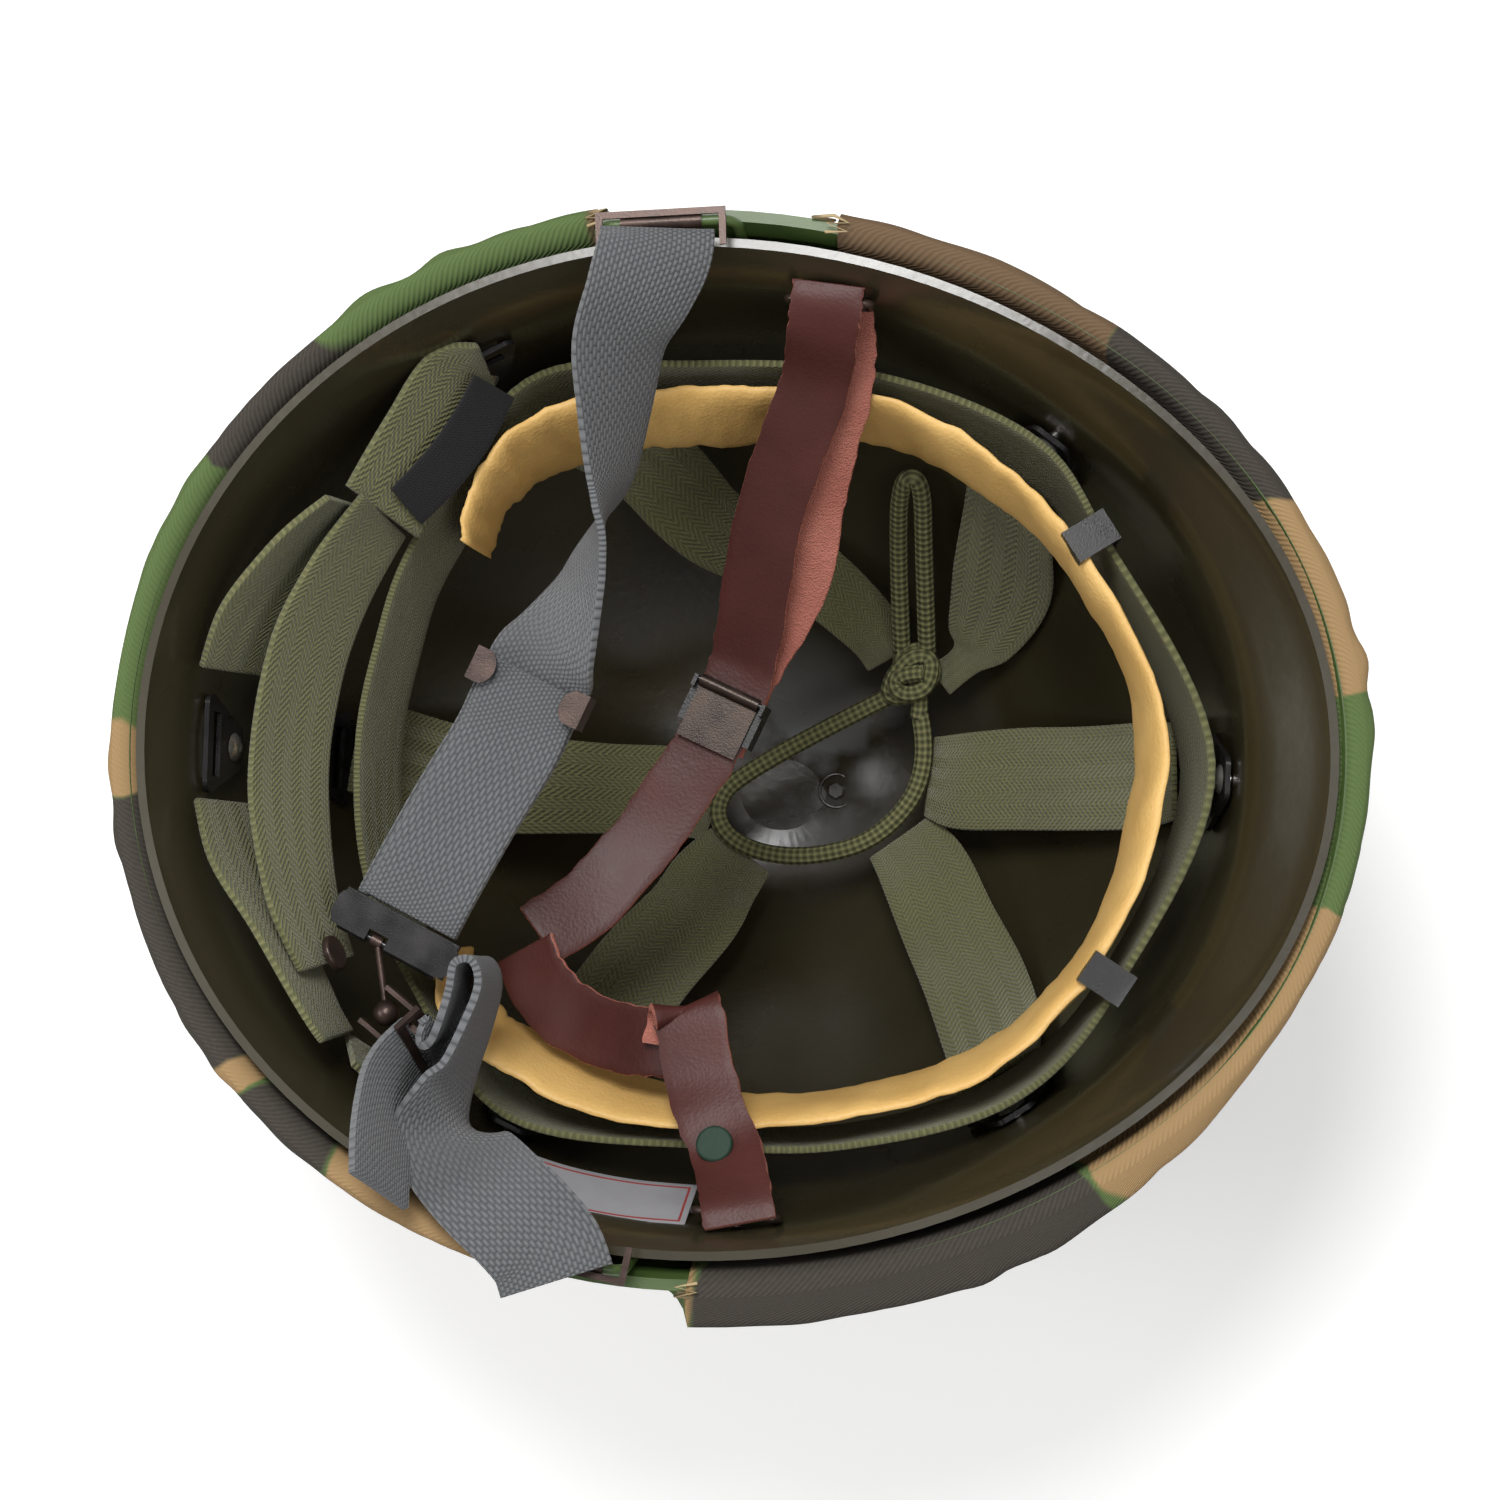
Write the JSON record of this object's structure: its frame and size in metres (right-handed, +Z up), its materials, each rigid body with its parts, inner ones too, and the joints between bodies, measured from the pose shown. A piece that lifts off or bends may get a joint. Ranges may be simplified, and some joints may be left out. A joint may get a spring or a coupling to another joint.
{
  "type": "steel pot helmet",
  "caption": "Steel pot helmet lying on its crown, with camouflage cover, olive liner, web suspension, leather sweatband and chin straps.",
  "frame": {"origin": "middle of the small flat under the crown, on the floor", "axes": "+X towards the front brim, +Y towards the wearer's right, +Z up out of the opening as the helmet lies on its crown"},
  "size_m": [0.2796, 0.2427, 0.2029],
  "materials": {
    "green_steel": "satin",
    "camouflage_cloth": "matte",
    "olive_liner": "satin",
    "grey_web": "matte",
    "browned_metal": "satin",
    "black_metal": "gloss",
    "plated_metal": "satin",
    "green_web": "matte",
    "green_cord": "matte",
    "tan_leather": "satin",
    "red_leather": "satin",
    "green_enamel": "satin",
    "black_cloth": "matte",
    "grey_label": "satin"
  },
  "bodies": {
    "helmet": {"black_tag": "black_cloth", "camouflage_cover": "camouflage_cloth", "crown_lace": "green_cord", "crown_web_front": "green_web", "crown_web_front_left": "green_web", "crown_web_front_right": "green_web", "crown_web_rear": "green_web", "crown_web_rear_left": "green_web", "crown_web_rear_right": "green_web", "headband_web": "green_web", "lace_end": "green_cord", "lace_knot": "green_cord", "liner_shell": "olive_liner", "liner_studs": "browned_metal", "loop_hinge_left": "green_steel", "loop_hinge_right": "green_steel", "nape_snap": "browned_metal", "nape_strap": "green_web", "nape_tab_left": "green_web", "nape_tab_rear_left": "green_web", "nape_tab_rear_right": "green_web", "nape_tab_right": "green_web", "rim_bead": "green_steel", "steel_shell": "green_steel", "sweatband": "tan_leather", "sweatband_clips": "black_metal", "wall_label": "grey_label", "washer_front": "black_metal", "washer_front_left": "black_metal", "washer_front_right": "black_metal", "washer_nape_left": "black_metal", "washer_nape_rear": "black_metal", "washer_nape_right": "black_metal", "washer_rear": "black_metal", "washer_rear_left": "black_metal", "washer_rear_right": "black_metal", "washer_rivets": "plated_metal"},
    "right_loop": {"strap_loop_right": "green_steel"},
    "left_loop": {"strap_loop_left": "green_steel"},
    "long_strap_half": {"strap_clip_right": "browned_metal", "chin_strap_long": "grey_web", "chin_strap_return": "grey_web", "strap_keeper": "browned_metal", "buckle_frame": "black_metal", "release_ball": "browned_metal"},
    "buckle_lever_body": {"buckle_lever": "black_metal"},
    "short_strap_half": {"strap_clip_left": "browned_metal", "chin_strap_short": "grey_web", "chin_strap_tail": "grey_web", "strap_end_plate": "browned_metal", "release_fork": "browned_metal"},
    "leather_strap": {"leather_strap_upper": "red_leather", "leather_strap_return": "red_leather", "leather_strap_lower": "red_leather", "leather_strap_end": "red_leather", "leather_buckle_sleeve": "black_metal", "leather_loop_right": "browned_metal", "leather_loop_left": "browned_metal", "leather_snap": "green_enamel"},
    "leather_buckle_flap": {"leather_buckle_plate": "black_metal"}
  },
  "joints": [
    {"name": "right_loop_swing", "type": "hinge", "parent": "helmet", "child": "right_loop", "pos_m": [-0.01777, 0.11116, 0.16446], "axis": [-0.997, -0.0769, 0], "range_deg": [-2, 2]},
    {"name": "left_loop_swing", "type": "hinge", "parent": "helmet", "child": "left_loop", "pos_m": [-0.03148, -0.10943, 0.16449], "axis": [-0.9845, 0.1752, 0], "range_deg": [-2, 2]},
    {"name": "right_strap_turn", "type": "hinge", "parent": "right_loop", "child": "long_strap_half", "pos_m": [-0.01807, 0.11495, 0.18146], "axis": [-0.997, -0.0769, 0], "range_deg": [0, 100]},
    {"name": "left_strap_turn", "type": "hinge", "parent": "left_loop", "child": "short_strap_half", "pos_m": [-0.03215, -0.11317, 0.18149], "axis": [0.9845, -0.1752, 0], "range_deg": [0, 70]},
    {"name": "buckle_lever_open", "type": "hinge", "parent": "long_strap_half", "child": "buckle_lever_body", "pos_m": [-0.07823, -0.04704, 0.15221], "axis": [0.9023, -0.4311, 0], "range_deg": [0, 80]},
    {"name": "leather_strap_swing", "type": "hinge", "parent": "helmet", "child": "leather_strap", "pos_m": [0.01705, 0.1047, 0.16192], "axis": [-0.0568, -0.9984, 0], "range_deg": [0, 30]},
    {"name": "leather_buckle_open", "type": "hinge", "parent": "leather_strap", "child": "leather_buckle_flap", "pos_m": [-0.00754, 0.01685, 0.1161], "axis": [-0.9207, 0.3903, 0], "range_deg": [0, 75]}
  ]
}
